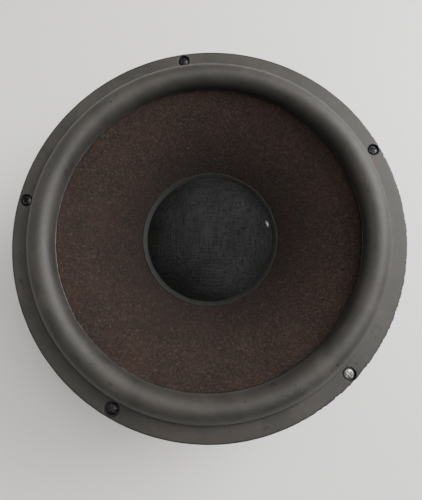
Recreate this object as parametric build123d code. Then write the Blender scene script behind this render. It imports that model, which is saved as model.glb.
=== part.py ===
from build123d import *
import math
import os

# A bare bass loudspeaker driver of the 10-inch class, in millimetres.
# Z is the axis of the cone, coil and magnet, Z = 0 is the flat rear face of the magnet system, and +Z is
# the way the cone faces. Sections are drawn as (radius, height) in the XZ plane and turned about Z.

# ---------------------------------------------------------------- driving sizes
# Magnet system, stacked upwards from its rear face
back_plate_radius = 55.0
back_plate_thickness = 8.0
back_plate_chamfer = 2.5
magnet_radius = 60.0
magnet_thickness = 20.0
magnet_chamfer = 1.0
top_plate_radius = 55.0
top_plate_thickness = 8.0
plate_edge_chamfer = 0.8
pole_spigot_radius = 19.0
pole_edge_chamfer = 0.8

# Voice coil
former_bore_radius = 25.0
former_wall = 0.3
former_height = 38.0
winding_build = 1.0
winding_height = 14.0
winding_start = 1.0             # bare former below the winding
collar_wall = 0.25
collar_gap = 0.5                # bare former between the winding and the paper collar

# Basket, pressed from sheet
sheet = 1.2
basket_radius = 129.6
basket_depth = 68.6             # from the top plate's face to the top of the mounting flange
flange_width = 13.8             # from the basket's edge to the inside of its upright wall
wall_height = 11.0
shelf_outer_radius = 74.0
shelf_inner_radius = 61.0
shelf_height = 16.0             # top of the spider shelf above the top plate
seat_radius = 50.0
bend_radius = 1.6               # inside radius of each bend in the sheet
leg_count = 5
window_angle = 50.0
window_corner_radius = 7.0
window_bottom_margin = 9.0      # wall left below a window, along its slope
window_top_margin = 9.0
rib_radius = 4.0
rib_margin = 12.0               # plain wall beyond each end of a leg's rib

# Basket rivets into the top plate
rivet_count = 4
first_rivet_angle = 45.0
rivet_circle_radius = 41.0
rivet_shank_radius = 2.0
rivet_head_radius = 3.8
rivet_head_height = 2.0
rivet_head_rim = 0.6            # upright edge below the dome
rivet_depth = 6.0               # shank length inside the top plate

# Surround: mounting flange, half roll and the lip under the cone's edge
surround_overhang = 0.4
surround_flange_thickness = 2.4
surround_flange_width = 12.2
roll_width = 16.4
roll_height = 11.5
roll_thickness = 1.6
lip_width = 6.0

# Cone, dust cap and their joints to the coil
cone_thickness = 0.9
cone_neck_height = 25.0         # front of the cone at its neck, above the top plate
cone_edge_drop = 0.9            # front of the cone at its edge, below the surround's flange
cone_bow = 1.6                  # how far the flare bulges from a straight cone
cone_collar_height = 4.0
dust_cap_radius = 45.4
dust_cap_height = 18.0
dust_cap_wall = 0.5
cap_glue_width = 3.4            # glue showing outside the dust cap
cap_glue_seat = 1.2             # glue under the dust cap's rim
cap_glue_thickness = 0.5
neck_glue_size = 2.0
neck_glue_skirt = 0.5           # glue below the cone's front at its neck
eyelet_offset = 10.7            # from the former's outside to the eyelets
eyelet_barrel_radius = 1.5
eyelet_bore_radius = 0.8
eyelet_flange_radius = 2.6
eyelet_flange_thickness = 0.5
coil_wire_radius = 0.25
coil_wire_clearance = 0.3       # between a coil end and the cone

# Spider: the corrugated cloth disc
spider_outer_radius = 70.0
spider_thickness = 0.6
spider_neck_height = 2.0
spider_roll_count = 5
spider_roll_height = 1.5
spider_land_width = 11.0
spider_inner_land = 2.5

# Mounting screws
screw_inset = 5.3               # from the surround's edge to the screw circle
first_leg_angle = 26.5
screw_turn_step = 30.0          # each screw was left turned this much further than the last
bright_screw_index = 4          # counted anticlockwise from the first leg
screw_head_radius = 3.5
screw_head_rim = 0.8
screw_head_height = 2.0
screw_neck_radius = 2.4
screw_thread_radius = 2.0
screw_length = 16.0             # from under the head to the point
screw_point_length = 3.5
recess_length = 4.2
recess_width = 0.9
recess_depth = 1.2

# Terminals, on a flat pad in one window
terminal_window_index = 3       # the window that follows this leg
pad_width = 50.0
pad_height = 17.5
pad_sink = 2.5                  # pad below the window's lower edge
pad_set_in = 0.4                # pad's inner face behind the wall's, where they meet
board_width = 46.0
board_height = 13.0
board_margin = 0.6              # between the board and the wall below the window
board_thickness = 1.6
board_corner_radius = 1.5
board_rivet_offset = 19.0
board_rivet_radius = 1.5
board_rivet_head_radius = 3.0
board_rivet_head_height = 1.0
tag_offset = 8.0
positive_tag_width = 6.3
negative_tag_width = 4.8
tag_thickness = 0.8
tag_length = 34.0
tag_corner_radius = 1.2
tag_hole_radius = 1.0
tag_hole_inset = 2.6
tag_rivet_radius = 1.2
tag_rivet_head_radius = 2.2
tag_rivet_head_height = 0.7
lead_radius = 0.9

# Clearances and glue lines
pole_clearance = 0.4            # pole to the inside of the former
gap_clearance = 0.5             # winding to the top plate
magnet_bore_clearance = 4.7     # winding to the magnet
seat_hole_clearance = 3.2       # winding to the basket
spigot_clearance = 0.05
rivet_clearance = 0.05
glue_line = 0.3                 # between a flexing part and what it is glued to
screw_hole_clearance = 0.35     # around a screw's neck
head_hole_clearance = 0.6       # around a screw's head, in the surround
pad_hole_clearance = 1.6        # around a terminal rivet, in the steel pad

# ---------------------------------------------------------------- sizes that follow
magnet_z = back_plate_thickness
top_plate_z = magnet_z + magnet_thickness
seat_z = top_plate_z + top_plate_thickness
rim_z = seat_z + basket_depth
front_z = rim_z + surround_flange_thickness
shelf_z = seat_z + shelf_height
wall_inner_radius = basket_radius - flange_width
wall_base_z = rim_z - wall_height

surround_radius = basket_radius + surround_overhang
roll_outer_radius = surround_radius - surround_flange_width
roll_inner_radius = roll_outer_radius - roll_width
roll_middle_radius = roll_outer_radius - roll_width / 2
screw_circle_radius = surround_radius - screw_inset
head_hole_radius = screw_head_radius + head_hole_clearance

pole_radius = former_bore_radius - pole_clearance
former_radius = former_bore_radius + former_wall
winding_radius = former_radius + winding_build
collar_radius = former_radius + collar_wall
top_plate_bore_radius = winding_radius + gap_clearance
magnet_bore_radius = winding_radius + magnet_bore_clearance
seat_hole_radius = winding_radius + seat_hole_clearance
eyelet_circle_radius = former_radius + eyelet_offset
winding_z = top_plate_z + (top_plate_thickness - winding_height) / 2
former_z = winding_z - winding_start

neck = (former_radius, seat_z + cone_neck_height)
edge = (roll_inner_radius - glue_line, front_z - cone_edge_drop)
leg_angles = [first_leg_angle + index * 360.0 / leg_count for index in range(leg_count)]
window_angles = [angle + 180.0 / leg_count for angle in leg_angles]
terminal_angle = window_angles[terminal_window_index]
board_up = pad_sink + board_margin + board_height / 2


def circle_through_flare():
    """Centre and radius of the arc from the cone's neck to its edge that bows out by cone_bow."""
    run = edge[0] - neck[0]
    rise = edge[1] - neck[1]
    chord = math.hypot(run, rise)
    radius = (chord * chord / 4 + cone_bow * cone_bow) / (2 * cone_bow)
    back_off = cone_bow - radius
    centre_r = (neck[0] + edge[0]) / 2 - rise / chord * back_off
    centre_z = (neck[1] + edge[1]) / 2 + run / chord * back_off
    return centre_r, centre_z, radius


flare_r, flare_z, flare_radius = circle_through_flare()


def on_cone(radius, lift=0.0):
    """The point of the cone's front at this radius, lifted square to the surface."""
    reach = flare_radius + lift
    return radius, flare_z + math.sqrt(reach * reach - (radius - flare_r) ** 2)


def cone_slope(radius):
    """The front surface's angle above the horizontal, in degrees, at this radius."""
    return math.degrees(math.asin((flare_r - radius) / flare_radius))


def ring(section):
    """A closed section in (radius, height), turned once about Z."""
    return revolve(Plane.XZ * make_face(section), Axis.Z, 360)


def tube_ring(inner, outer, low, high):
    """A plain ring between two radii and two heights."""
    return ring(Polyline((inner, low), (outer, low), (outer, high), (inner, high), close=True))


def spread(piece, angles):
    """Copies of a piece at these angles about Z."""
    return [Rot(0, 0, angle) * piece for angle in angles]


def post(radius, low, high, distance):
    """An upright cylinder at this distance from the axis, along +X."""
    return Pos(distance, 0, low) * Cylinder(radius, high - low, align=(Align.CENTER, Align.CENTER, Align.MIN))


# ---------------------------------------------------------------- magnet system
def make_back_plate():
    c = back_plate_chamfer
    outline = Polyline(
        (pole_spigot_radius + spigot_clearance, 0),
        (back_plate_radius - c, 0),
        (back_plate_radius, c),
        (back_plate_radius, back_plate_thickness),
        (pole_spigot_radius + spigot_clearance, back_plate_thickness),
        close=True,
    )
    return ring(outline)


def make_pole_piece():
    """The turned pole: a shoulder stands on the back plate and the spigot is staked into it."""
    c = pole_edge_chamfer
    outline = Polyline(
        (0, 0),
        (pole_spigot_radius, 0),
        (pole_spigot_radius, magnet_z),
        (pole_radius, magnet_z),
        (pole_radius, seat_z - c),
        (pole_radius - c, seat_z),
        (0, seat_z),
        close=True,
    )
    return ring(outline)


def make_magnet():
    c = magnet_chamfer
    outline = Polyline(
        (magnet_bore_radius, magnet_z),
        (magnet_radius - c, magnet_z),
        (magnet_radius, magnet_z + c),
        (magnet_radius, top_plate_z - c),
        (magnet_radius - c, top_plate_z),
        (magnet_bore_radius, top_plate_z),
        close=True,
    )
    return ring(outline)


def make_top_plate():
    c = plate_edge_chamfer
    outline = Polyline(
        (top_plate_bore_radius, top_plate_z),
        (top_plate_radius - c, top_plate_z),
        (top_plate_radius, top_plate_z + c),
        (top_plate_radius, seat_z - c),
        (top_plate_radius - c, seat_z),
        (top_plate_bore_radius, seat_z),
        close=True,
    )
    hole = post(rivet_shank_radius + rivet_clearance, seat_z - rivet_depth, seat_z, rivet_circle_radius)
    return ring(outline) - spread(hole, rivet_angles())


# ---------------------------------------------------------------- basket
def rivet_angles():
    return [first_rivet_angle + index * 360.0 / rivet_count for index in range(rivet_count)]


def wall_frame(along, angle=0.0):
    """A plane on the sloping wall's inner face, this far up the slope from the spider shelf.

    X runs round the basket, Y up the slope and Z out of the wall.
    """
    run = wall_inner_radius - shelf_outer_radius
    rise = wall_base_z - shelf_z
    slope = math.hypot(run, rise)
    origin = (shelf_outer_radius + run / slope * along, 0, shelf_z + rise / slope * along)
    plane = Plane(origin=origin, x_dir=(0, 1, 0), z_dir=(rise / slope, 0, -run / slope))
    return Plane(Rot(0, 0, angle) * plane.location)


def wall_length():
    return math.hypot(wall_inner_radius - shelf_outer_radius, wall_base_z - shelf_z)


def window_cutter():
    """A wedge that cuts one window square through the sloping wall."""
    low = window_bottom_margin
    high = wall_length() - window_top_margin
    depth = 6 * sheet
    profile = [
        wall_frame(along).from_local_coords((0, 0, out))
        for along, out in ((low, -depth), (low, depth), (high, depth), (high, -depth))
    ]
    outline = Polyline(*[(corner.X, corner.Z) for corner in profile], close=True)
    wedge = revolve(Plane.XZ * make_face(outline), Axis.Z, window_angle)
    wedge = Rot(0, 0, -window_angle / 2) * wedge
    corners = [side for side in wedge.edges().filter_by(GeomType.LINE) if abs(side.length - 2 * depth) < 0.01]
    return fillet(corners, window_corner_radius)


def capsule(radius, start, end):
    """A round-ended rod from start to end, along local Y."""
    rod = Rot(90, 0, 0) * Cylinder(radius, end - start)
    return Pos(0, (start + end) / 2, 0) * rod + Pos(0, start, 0) * Sphere(radius) + Pos(0, end, 0) * Sphere(radius)


def leg_rib():
    """A rib pressed outwards along a leg, and the groove that it leaves on the inside."""
    base = wall_frame(0)
    start = rib_margin
    end = wall_length() - rib_margin
    outer_side = Pos(0, wall_length() / 2, 0) * Box(
        4 * rib_radius, 2 * wall_length(), 2 * rib_radius, align=(Align.CENTER, Align.CENTER, Align.MIN)
    )
    ridge = base * (capsule(rib_radius, start, end) & outer_side)
    groove = base * capsule(rib_radius - sheet, start, end)
    return ridge, groove


def terminal_frame(out=0.0):
    """The plane of the terminal pad, with Y up the slope from the pad's lower edge and Z outwards."""
    plane = wall_frame(window_bottom_margin - pad_sink, terminal_angle)
    return plane.offset(out - pad_set_in)


def across_pad(piece, offset, up, out=0.0):
    """Place a piece on the terminal pad: offset round the basket, up its slope and out of its face."""
    return terminal_frame(out) * Pos(offset, up, 0) * piece


def rod(radius, height):
    return Cylinder(radius, height, align=(Align.CENTER, Align.CENTER, Align.MIN))


def make_basket():
    inside = FilletPolyline(
        (basket_radius, rim_z),
        (wall_inner_radius, rim_z),
        (wall_inner_radius, wall_base_z),
        (shelf_outer_radius, shelf_z),
        (shelf_inner_radius, shelf_z),
        (seat_radius, seat_z + sheet),
        (seat_hole_radius, seat_z + sheet),
        radius=bend_radius,
    )
    outline = offset(inside, amount=sheet, side=Side.LEFT, kind=Kind.ARC)
    body = ring(outline)
    body -= spread(window_cutter(), window_angles)
    ridge, groove = leg_rib()
    body += spread(ridge, leg_angles)
    body -= spread(groove, leg_angles)
    pad = Box(pad_width, pad_height, sheet, align=(Align.CENTER, Align.MIN, Align.MIN))
    body += across_pad(pad, 0, 0)
    for side in (-1, 1):
        small = rod(board_rivet_radius + rivet_clearance, sheet)
        large = rod(tag_rivet_head_radius + pad_hole_clearance, sheet)
        body -= across_pad(small, side * board_rivet_offset, board_up)
        body -= across_pad(large, side * tag_offset, board_up)
    screw_hole = post(screw_neck_radius + screw_hole_clearance, rim_z - sheet, rim_z, screw_circle_radius)
    body -= spread(screw_hole, leg_angles)
    rivet_hole = post(rivet_shank_radius + rivet_clearance, seat_z, seat_z + sheet, rivet_circle_radius)
    body -= spread(rivet_hole, rivet_angles())
    return body


def dome_arc(radius, low, high):
    """The arc of a spherical dome's section, from its rim at this radius to its top on the axis."""
    height = high - low
    sphere = (radius * radius + height * height) / (2 * height)
    middle_z = high - sphere + math.sqrt(sphere * sphere - radius * radius / 4)
    return ThreePointArc((radius, low), (radius / 2, middle_z), (0, high))


def make_basket_rivets():
    """Round-headed rivets whose shanks are staked into the top plate."""
    low = -(sheet + rivet_depth)
    half = Polyline(
        (0, low),
        (rivet_shank_radius, low),
        (rivet_shank_radius, 0),
        (rivet_head_radius, 0),
        (rivet_head_radius, rivet_head_rim),
    )
    dome = dome_arc(rivet_head_radius, rivet_head_rim, rivet_head_height)
    rivet = Pos(rivet_circle_radius, 0, seat_z + sheet) * ring(half + dome + Line((0, rivet_head_height), (0, low)))
    return Compound(children=spread(rivet, rivet_angles()))


# ---------------------------------------------------------------- terminals
def make_terminal_board():
    board = Box(board_width, board_height, board_thickness, align=(Align.CENTER, Align.CENTER, Align.MIN))
    board = fillet(board.edges().filter_by(Axis.Z), board_corner_radius)
    for side in (-1, 1):
        board -= Pos(side * board_rivet_offset, 0, 0) * rod(board_rivet_radius + rivet_clearance, board_thickness)
        board -= Pos(side * tag_offset, 0, 0) * rod(tag_rivet_radius + rivet_clearance, board_thickness)
    return across_pad(board, 0, board_up, sheet)


def make_tag(side, width):
    """A solder tag flat on the board, with a wire hole at each end."""
    tag = Box(width, tag_length, tag_thickness, align=(Align.CENTER, Align.CENTER, Align.MIN))
    tag = fillet(tag.edges().filter_by(Axis.Z), tag_corner_radius)
    for end in (-1, 1):
        tag -= Pos(0, end * (tag_length / 2 - tag_hole_inset), 0) * rod(tag_hole_radius, tag_thickness)
    tag -= rod(tag_rivet_radius + rivet_clearance, tag_thickness)
    return across_pad(tag, side * tag_offset, board_up, sheet + board_thickness)


def board_rivet():
    """A tubular rivet's solid form, through the board and the steel pad, with a head on each side."""
    shank = rod(board_rivet_radius, sheet + board_thickness)
    outer = Pos(0, 0, sheet + board_thickness) * rod(board_rivet_head_radius, board_rivet_head_height)
    inner = Pos(0, 0, -board_rivet_head_height) * rod(board_rivet_head_radius, board_rivet_head_height)
    return shank + outer + inner


def tag_rivet():
    """A small brass rivet through a tag and the board, clear of the steel pad."""
    shank = Pos(0, 0, sheet) * rod(tag_rivet_radius, board_thickness + tag_thickness)
    outer = Pos(0, 0, sheet + board_thickness + tag_thickness) * rod(tag_rivet_head_radius, tag_rivet_head_height)
    inner = Pos(0, 0, sheet - tag_rivet_head_height) * rod(tag_rivet_head_radius, tag_rivet_head_height)
    return shank + outer + inner


def make_board_rivets():
    sides = (-board_rivet_offset, board_rivet_offset)
    return Compound(children=[across_pad(board_rivet(), side, board_up) for side in sides])


def make_tag_rivets():
    return Compound(children=[across_pad(tag_rivet(), side, board_up) for side in (-tag_offset, tag_offset)])


def make_tinsel_lead(side):
    """The braided lead from a tag's upper hole, through the window, to the back of an eyelet.

    Its points are chosen by hand, as steps inwards and upwards from the tag or the eyelet.
    """
    tag_top = terminal_frame(sheet + board_thickness).from_local_coords(
        (side * tag_offset, board_up + tag_length / 2 - tag_hole_inset, -lead_radius)
    )
    eyelet = eyelet_frame(side).from_local_coords(
        (0, 0, -cone_thickness - eyelet_flange_thickness - glue_line)
    )
    inward = Vector(math.cos(math.radians(terminal_angle)), math.sin(math.radians(terminal_angle)), 0) * -1
    slack = Vector(0, 0, 1)
    route = [
        tag_top,
        tag_top + inward * 9 + slack * 5,
        tag_top + inward * 19 + slack * 1.5,
        eyelet + inward * -14 - slack * 7.5,
        eyelet + inward * -4.5 - slack * 7.0,
        eyelet,
    ]
    path = FilletPolyline(*route, radius=lead_bends(route))
    section = Plane(origin=route[0], z_dir=path % 0) * Circle(lead_radius)
    lead = sweep(section, path=path)
    print("tinsel lead", "length", round(path.length, 1), "bends", [round(r, 1) for r in lead_bends(route)])
    return lead


def lead_bends(route):
    """The largest bend at each corner that its two runs leave room for."""
    bends = []
    for before, here, after in zip(route, route[1:], route[2:]):
        turn = math.radians((here - before).get_angle(after - here))
        shorter = min((here - before).length, (after - here).length)
        bends.append(0.45 * shorter / math.tan(turn / 2))
    return bends


# ---------------------------------------------------------------- surround, spider and screws
def make_surround():
    under_cone = -(cone_thickness + glue_line)
    lip_end = roll_inner_radius - lip_width
    roll_top = front_z + roll_height
    upper = Polyline((surround_radius, rim_z), (surround_radius, front_z), (roll_outer_radius, front_z))
    roll = ThreePointArc((roll_outer_radius, front_z), (roll_middle_radius, roll_top), (roll_inner_radius, front_z))
    lip = Polyline(
        (roll_inner_radius, front_z),
        on_cone(roll_inner_radius, under_cone),
        on_cone(lip_end, under_cone),
        on_cone(lip_end, under_cone - roll_thickness),
        on_cone(roll_inner_radius + roll_thickness, under_cone - roll_thickness),
        (roll_inner_radius + roll_thickness, front_z),
    )
    inner_roll = ThreePointArc(
        (roll_inner_radius + roll_thickness, front_z),
        (roll_middle_radius, roll_top - roll_thickness),
        (roll_outer_radius - roll_thickness, front_z),
    )
    foot = Polyline(
        (roll_outer_radius - roll_thickness, front_z),
        (roll_outer_radius - roll_thickness, rim_z),
        (surround_radius, rim_z),
    )
    head_hole = post(head_hole_radius, rim_z, front_z, screw_circle_radius)
    return ring(upper + roll + lip + inner_roll + foot) - spread(head_hole, leg_angles)


def make_spider():
    """A flat outer land on the shelf, rolls of alternating height and a short neck beside the collar."""
    inner = collar_radius + glue_line
    rolls_start = inner + spider_inner_land
    rolls_end = spider_outer_radius - spider_land_width
    step = (rolls_end - rolls_start) / (4 * spider_roll_count)
    crest = [
        (rolls_start + index * step, shelf_z + spider_roll_height * math.sin(index * math.pi / 2))
        for index in range(1, 4 * spider_roll_count)
    ]
    middle = [(inner, shelf_z), (rolls_start, shelf_z), *crest, (rolls_end, shelf_z), (spider_outer_radius, shelf_z)]
    top = [(r, z + spider_thickness) for r, z in middle[1:]]
    neck_outline = [
        (inner + spider_thickness, shelf_z + spider_thickness),
        (inner + spider_thickness, shelf_z + spider_neck_height),
        (inner, shelf_z + spider_neck_height),
    ]
    return ring(Polyline(*middle, *reversed(top), *neck_outline, close=True))


def mounting_screw():
    """A pan-head wood screw on Z = 0 under its head, with a cross recess."""
    dome = dome_arc(screw_head_radius, screw_head_rim, screw_head_height)
    shank_end = screw_point_length - screw_length
    shank = Polyline(
        (0, -screw_length),
        (screw_thread_radius, shank_end),
        (screw_thread_radius, -sheet),
        (screw_neck_radius, -sheet),
        (screw_neck_radius, 0),
        (screw_head_radius, 0),
        (screw_head_radius, screw_head_rim),
    )
    body = ring(shank + dome + Line((0, screw_head_height), (0, -screw_length)))
    low = screw_head_height - recess_depth
    bar = Pos(0, 0, low) * Box(
        recess_length, recess_width, 2 * recess_depth, align=(Align.CENTER, Align.CENTER, Align.MIN)
    )
    return body - bar - Rot(0, 0, 90) * bar


def placed_screws(indexes):
    screws = []
    for index in indexes:
        seat = Rot(0, 0, leg_angles[index]) * Pos(screw_circle_radius, 0, rim_z)
        screws.append(seat * Rot(0, 0, index * screw_turn_step) * mounting_screw())
    return Compound(children=screws)


# ---------------------------------------------------------------- moving assembly
def eyelet_frame(side):
    """The plane on the cone's front at an eyelet, with Z square to the cone."""
    spread_angle = math.degrees(math.asin(tag_offset / eyelet_circle_radius))
    radius, height = on_cone(eyelet_circle_radius)
    tilt = math.radians(cone_slope(eyelet_circle_radius))
    local = Plane(origin=(radius, 0, height), x_dir=(0, 1, 0), z_dir=(-math.sin(tilt), 0, math.cos(tilt)))
    return Plane(Rot(0, 0, terminal_angle + side * spread_angle) * local.location)


def make_cone():
    collar_outer = former_radius + cone_thickness
    middle = on_cone((neck[0] + edge[0]) / 2)
    back_start = on_cone(collar_outer, -cone_thickness)
    back_middle = on_cone((collar_outer + edge[0]) / 2, -cone_thickness)
    back_end = on_cone(edge[0], -cone_thickness)
    front = ThreePointArc(neck, middle, edge)
    back = ThreePointArc(back_end, back_middle, back_start)
    collar = Polyline(
        back_start,
        (collar_outer, neck[1] - cone_collar_height),
        (former_radius, neck[1] - cone_collar_height),
        neck,
    )
    body = ring(front + Line(edge, back_end) + back + collar)
    for side in (-1, 1):
        hole = eyelet_frame(side) * Cylinder(eyelet_barrel_radius, 6 * cone_thickness)
        body -= hole
    return body


def make_eyelets():
    """Two tubular eyelets clinched through the cone."""
    reach = cone_thickness + eyelet_flange_thickness
    barrel = Pos(0, 0, -reach) * rod(eyelet_barrel_radius, reach + eyelet_flange_thickness)
    front = rod(eyelet_flange_radius, eyelet_flange_thickness)
    back = Pos(0, 0, -reach) * rod(eyelet_flange_radius, eyelet_flange_thickness)
    bore = Pos(0, 0, -reach) * rod(eyelet_bore_radius, reach + eyelet_flange_thickness)
    cone = make_cone()
    eyelet = barrel + front + back - bore
    return Compound(children=[eyelet_frame(side) * eyelet - cone for side in (-1, 1)])


def make_coil_lead_wires():
    """The coil's two ends, from the neck glue along the cone's front to the eyelets, under the dust cap."""
    start_radius = former_radius + neck_glue_size + 2 * coil_wire_radius
    end_radius = eyelet_circle_radius - eyelet_flange_radius - coil_wire_radius
    lift = coil_wire_radius + coil_wire_clearance
    wires = []
    for side in (-1, 1):
        frame = eyelet_frame(side)
        inner = start_radius - eyelet_circle_radius
        outer = end_radius - eyelet_circle_radius
        slope = math.cos(math.radians(cone_slope(eyelet_circle_radius)))
        low = frame.from_local_coords((0, -inner / slope, lift))
        high = frame.from_local_coords((0, -outer / slope, lift))
        wire = Plane(origin=low, z_dir=high - low) * rod(coil_wire_radius, (high - low).length)
        wires.append(wire)
    return Compound(children=wires)


def make_former():
    return tube_ring(former_bore_radius, former_radius, former_z, former_z + former_height)


def make_winding():
    return tube_ring(former_radius, winding_radius, winding_z, winding_z + winding_height)


def make_collar():
    """Stiffening paper wound on the former, over the coil's ends, up to the cone."""
    low = winding_z + winding_height + collar_gap
    return tube_ring(former_radius, collar_radius, low, neck[1] - cone_collar_height)


def make_neck_glue():
    low = neck[1] - neck_glue_skirt
    corner = on_cone(former_radius + neck_glue_size)
    outline = Polyline(
        (former_radius, low),
        (corner[0], corner[1] - neck_glue_skirt),
        corner,
        (former_radius, former_z + former_height),
        close=True,
    )
    return ring(outline) - make_cone()


def cap_glue_radii():
    return dust_cap_radius - cap_glue_seat, dust_cap_radius + cap_glue_width


def make_cap_glue():
    inner, outer = cap_glue_radii()
    outline = Polyline(
        on_cone(inner, -cone_thickness / 2),
        on_cone(outer, -cone_thickness / 2),
        on_cone(outer, cap_glue_thickness / 2),
        on_cone(outer - cap_glue_thickness, cap_glue_thickness),
        on_cone(inner, cap_glue_thickness),
        close=True,
    )
    return ring(outline) - make_cone()


def make_dust_cap():
    """A cloth dome whose rim stands in the glue on the cone."""
    rim_z_outside = on_cone(dust_cap_radius, cap_glue_thickness)[1]
    apex = rim_z_outside + dust_cap_height
    inner_rim = dust_cap_radius - dust_cap_wall
    outer = dome_arc(dust_cap_radius, rim_z_outside, apex)
    inner = dome_arc(inner_rim, rim_z_outside, apex - dust_cap_wall)
    rim = Polyline(
        (dust_cap_radius, rim_z_outside),
        on_cone(dust_cap_radius, cap_glue_thickness / 2),
        on_cone(inner_rim, cap_glue_thickness / 2),
        (inner_rim, rim_z_outside),
    )
    axis = Line((0, apex - dust_cap_wall), (0, apex))
    return ring(outer + rim + inner + axis) - make_cap_glue()


# ---------------------------------------------------------------- the nodes
black_screws = [index for index in range(leg_count) if index != bright_screw_index]
nodes = {
    "back_plate": make_back_plate(),
    "pole_piece": make_pole_piece(),
    "magnet": make_magnet(),
    "top_plate": make_top_plate(),
    "basket": make_basket(),
    "basket_rivets": make_basket_rivets(),
    "terminal_board": make_terminal_board(),
    "terminal_board_rivets": make_board_rivets(),
    "terminal_tag_positive": make_tag(1, positive_tag_width),
    "terminal_tag_negative": make_tag(-1, negative_tag_width),
    "terminal_tag_rivets": make_tag_rivets(),
    "tinsel_lead_positive": make_tinsel_lead(1),
    "tinsel_lead_negative": make_tinsel_lead(-1),
    "surround": make_surround(),
    "spider": make_spider(),
    "mounting_screws_black": placed_screws(black_screws),
    "mounting_screw_bright": placed_screws([bright_screw_index]),
    "cone": make_cone(),
    "cone_eyelets": make_eyelets(),
    "dust_cap": make_dust_cap(),
    "dust_cap_glue_ring": make_cap_glue(),
    "voice_coil_former": make_former(),
    "voice_coil_winding": make_winding(),
    "former_collar": make_collar(),
    "coil_lead_wires": make_coil_lead_wires(),
    "neck_glue_ring": make_neck_glue(),
}

os.makedirs("parts", exist_ok=True)
for name, shape in nodes.items():
    export_step(shape, f"parts/{name}.step")
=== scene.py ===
# A bare bass loudspeaker driver, lying face up on its magnet. Lengths are in metres unless a name says _mm.
import math

import bmesh
import bpy
from mathutils import Matrix, Vector, noise


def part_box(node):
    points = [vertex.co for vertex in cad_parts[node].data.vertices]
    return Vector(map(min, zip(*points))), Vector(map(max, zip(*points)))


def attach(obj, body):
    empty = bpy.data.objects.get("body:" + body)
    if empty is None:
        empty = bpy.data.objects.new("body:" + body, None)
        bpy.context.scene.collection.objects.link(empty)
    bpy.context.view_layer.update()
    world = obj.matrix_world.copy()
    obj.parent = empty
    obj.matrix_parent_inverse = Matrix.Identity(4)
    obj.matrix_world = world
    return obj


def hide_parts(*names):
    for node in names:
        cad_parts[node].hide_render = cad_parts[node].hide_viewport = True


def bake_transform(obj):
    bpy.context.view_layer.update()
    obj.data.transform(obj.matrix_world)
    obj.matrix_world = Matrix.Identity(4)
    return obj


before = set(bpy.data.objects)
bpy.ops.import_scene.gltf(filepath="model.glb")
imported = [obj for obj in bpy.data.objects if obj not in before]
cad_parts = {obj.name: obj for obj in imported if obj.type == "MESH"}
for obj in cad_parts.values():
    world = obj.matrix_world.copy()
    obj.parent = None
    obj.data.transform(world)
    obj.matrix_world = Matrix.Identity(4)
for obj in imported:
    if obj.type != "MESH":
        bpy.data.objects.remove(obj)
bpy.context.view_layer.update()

# ---------------------------------------------------------------- camera
# A phone held close above the driver: a wide lens about 29 cm over the flange, tipped back by 12 degrees,
# so the near side of the rim looks a little larger than the far side.
MM = 0.001
front_mm = 107.0
eye = Vector((13.4, -49.7, front_mm + 285.0)) * MM
camera_data = bpy.data.cameras.new("phone_camera")
camera_data.lens = 31.68
camera_data.sensor_width = 36.0
camera_data.shift_x = -0.0105
camera_data.shift_y = -0.0721
camera_data.clip_start = 0.01
camera = bpy.data.objects.new("phone_camera", camera_data)
bpy.context.scene.collection.objects.link(camera)
camera_side = Vector((0.99964, 0.00563, -0.02642)).normalized()
camera_back = Vector((0.02701, -0.20840, 0.97767)).normalized()
camera_up = camera_back.cross(camera_side).normalized()
turn = Matrix((camera_side, camera_up, camera_back)).transposed()
camera.matrix_world = Matrix.Translation(eye) @ turn.to_4x4()
bpy.context.scene.camera = camera


# ---------------------------------------------------------------- floor and light
# A smooth off-white board floor. A tall window to the upper right and the bright ceiling above that side
# light it softly, so the flange shines on the right and goes dull on the left. The left wall only glows.
def linear(hex_colour):
    """An sRGB hex colour as the linear colour that a shader takes."""
    parts = [int(hex_colour[i:i + 2], 16) / 255 for i in (1, 3, 5)]
    return tuple(p / 12.92 if p <= 0.04045 else ((p + 0.055) / 1.055) ** 2.4 for p in parts) + (1.0,)


def per_mm(size_mm):
    """The texture scale at which a pattern repeats every size_mm millimetres."""
    return 1 / (size_mm * MM)


def add(tree, kind, inputs=None, stops=(), **settings):
    """Adds a node with its settings and links.

    Each input is a value, a socket, or a node whose first live output it takes. stops are a colour ramp's
    positions and colours.
    """
    node = tree.nodes.new(kind)
    for key, value in settings.items():
        setattr(node, key, value)
    for key, value in (inputs or {}).items():
        named = [socket for socket in node.inputs if socket.name == key and socket.enabled]
        socket = node.inputs[key] if isinstance(key, int) else named[0]
        if isinstance(value, bpy.types.Node):
            value = [output for output in value.outputs if output.enabled][0]
        if isinstance(value, bpy.types.NodeSocket):
            tree.links.new(value, socket)
        else:
            socket.default_value = value
    for index, (position, colour) in enumerate(stops):
        elements = node.color_ramp.elements
        element = elements[index] if index < 2 else elements.new(position)
        element.position = position
        element.color = linear(colour)
    return node


def new_material(name):
    """An empty node material, its tree, and the socket that gives a point's place on the object."""
    material = bpy.data.materials.new(name)
    material.use_nodes = True
    material.node_tree.nodes.clear()
    place = add(material.node_tree, "ShaderNodeTexCoord").outputs["Object"]
    return material, material.node_tree, place


def paint(obj, material):
    obj.data.materials.clear()
    obj.data.materials.append(material)
    return obj


bpy.ops.mesh.primitive_plane_add(size=6.0)
floor = bpy.context.object
floor.name = "floor"
floor_board, tree, place = new_material("floor_white_laminate")
shade = add(tree, "ShaderNodeTexNoise", {"Vector": place, "Scale": per_mm(400), "Detail": 2.0})
tint = add(tree, "ShaderNodeValToRGB", {"Fac": shade}, stops=[(0.3, "#F4F2F0"), (0.7, "#F9F8F7")])
shader = add(tree, "ShaderNodeBsdfPrincipled", {"Base Color": tint, "Roughness": 0.45})
add(tree, "ShaderNodeOutputMaterial", {"Surface": shader})
paint(floor, floor_board)

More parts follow.
